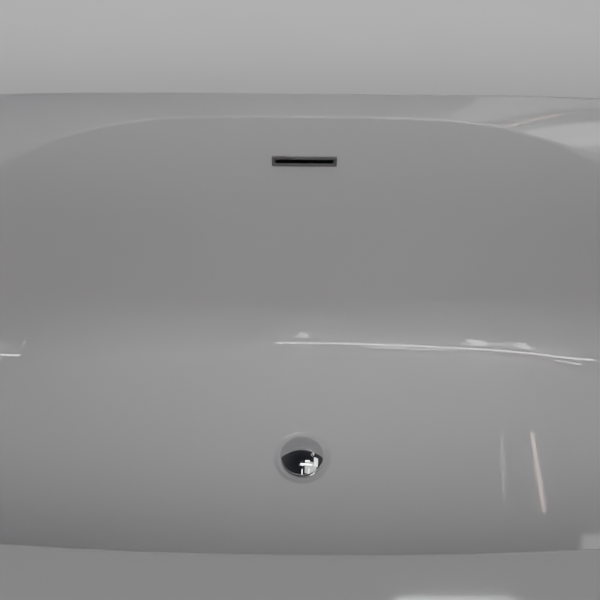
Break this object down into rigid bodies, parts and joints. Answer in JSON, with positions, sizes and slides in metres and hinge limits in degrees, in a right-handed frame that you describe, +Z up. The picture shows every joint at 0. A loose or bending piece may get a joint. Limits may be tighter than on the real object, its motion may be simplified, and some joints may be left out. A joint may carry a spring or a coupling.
{
  "type": "freestanding bathtub",
  "caption": "Freestanding oval bathtub in white double-skin acrylic, with a pop-up waste in the middle of the floor, a slot overflow in one long wall and levelling feet.",
  "frame": {"origin": "on the floor under the middle of the tub, straight below the drain", "axes": "+X along the tub, +Y towards the long wall that holds the overflow, +Z up"},
  "size_m": [1.7, 0.8, 0.58],
  "materials": {
    "acrylic": "glossy white sanitary acrylic",
    "sealant": "white silicone",
    "chrome": "polished",
    "chrome_body": "bright plated",
    "dark_chrome": "satin dark chrome",
    "brass": "machined",
    "zinc_steel": "zinc plated",
    "frame_paint": "matt grey coating on steel",
    "plywood": "unfinished birch plywood",
    "rubber": "matt black",
    "white_plastic": "moulded polypropylene",
    "hose_plastic": "ribbed flexible hose",
    "black_plastic": "moulded polypropylene"
  },
  "bodies": {
    "tub": {"inner_shell": "acrylic", "outer_shell": "acrylic", "rim_seam_bead": "sealant", "overflow_trim": "dark_chrome", "overflow_gasket": "rubber", "overflow_box": "white_plastic", "overflow_hose": "hose_plastic", "hose_clamp_upper": "zinc_steel", "hose_clamp_lower": "zinc_steel", "plug_spring": "zinc_steel", "latch_cartridge": "white_plastic", "drain_body": "chrome_body", "drain_upper_gasket": "rubber", "drain_lower_gasket": "rubber", "drain_backnut": "white_plastic", "waste_tee": "black_plastic", "waste_union_nut": "white_plastic", "base_board": "plywood", "frame_rail_front": "frame_paint", "frame_rail_back": "frame_paint", "frame_crossmember_left": "frame_paint", "frame_crossmember_right": "frame_paint", "frame_tie_left": "frame_paint", "frame_tie_right": "frame_paint", "foot_bracket_front_left": "frame_paint", "foot_locknut_front_left": "zinc_steel", "skirt_strap_front_left": "frame_paint", "foot_bracket_front_right": "frame_paint", "foot_locknut_front_right": "zinc_steel", "skirt_strap_front_right": "frame_paint", "foot_bracket_back_left": "frame_paint", "foot_locknut_back_left": "zinc_steel", "skirt_strap_back_left": "frame_paint", "foot_bracket_back_right": "frame_paint", "foot_locknut_back_right": "zinc_steel", "skirt_strap_back_right": "frame_paint"},
    "plug": {"plug_cap": "chrome", "plug_seal": "rubber", "plug_stem": "brass"},
    "foot_pad_front_left": {"foot_pad_front_left": "black_plastic"},
    "foot_stud_front_left": {"foot_stud_front_left": "zinc_steel"},
    "foot_pad_front_right": {"foot_pad_front_right": "black_plastic"},
    "foot_stud_front_right": {"foot_stud_front_right": "zinc_steel"},
    "foot_pad_back_left": {"foot_pad_back_left": "black_plastic"},
    "foot_stud_back_left": {"foot_stud_back_left": "zinc_steel"},
    "foot_pad_back_right": {"foot_pad_back_right": "black_plastic"},
    "foot_stud_back_right": {"foot_stud_back_right": "zinc_steel"}
  },
  "joints": [
    {"name": "drain_plug_slide", "type": "slide", "parent": "tub", "child": "plug", "axis": [0, 0, 1], "range_m": [-0.0005, 0.009], "deforming": ["plug_spring"]},
    {"name": "foot_height_front_left", "type": "slide", "parent": "tub", "child": "foot_pad_front_left", "axis": [0, 0, 1], "range_m": [-0.015, 0.006]},
    {"name": "foot_screw_front_left", "type": "hinge", "parent": "foot_pad_front_left", "child": "foot_stud_front_left", "pos_m": [-0.42, -0.205, 0], "axis": [0, 0, 1], "range_deg": [-3087, 1236]},
    {"name": "foot_height_front_right", "type": "slide", "parent": "tub", "child": "foot_pad_front_right", "axis": [0, 0, 1], "range_m": [-0.015, 0.006]},
    {"name": "foot_screw_front_right", "type": "hinge", "parent": "foot_pad_front_right", "child": "foot_stud_front_right", "pos_m": [0.42, -0.205, 0], "axis": [0, 0, 1], "range_deg": [-3087, 1236]},
    {"name": "foot_height_back_left", "type": "slide", "parent": "tub", "child": "foot_pad_back_left", "axis": [0, 0, 1], "range_m": [-0.015, 0.006]},
    {"name": "foot_screw_back_left", "type": "hinge", "parent": "foot_pad_back_left", "child": "foot_stud_back_left", "pos_m": [-0.42, 0.205, 0], "axis": [0, 0, 1], "range_deg": [-3087, 1236]},
    {"name": "foot_height_back_right", "type": "slide", "parent": "tub", "child": "foot_pad_back_right", "axis": [0, 0, 1], "range_m": [-0.015, 0.006]},
    {"name": "foot_screw_back_right", "type": "hinge", "parent": "foot_pad_back_right", "child": "foot_stud_back_right", "pos_m": [0.42, 0.205, 0], "axis": [0, 0, 1], "range_deg": [-3087, 1236]}
  ],
  "couplings": [
    {"joint": "foot_screw_front_left", "follows": "foot_height_front_left", "rad_per_m": 3590.4},
    {"joint": "foot_screw_front_right", "follows": "foot_height_front_right", "rad_per_m": 3590.4},
    {"joint": "foot_screw_back_left", "follows": "foot_height_back_left", "rad_per_m": 3590.4},
    {"joint": "foot_screw_back_right", "follows": "foot_height_back_right", "rad_per_m": 3590.4}
  ]
}
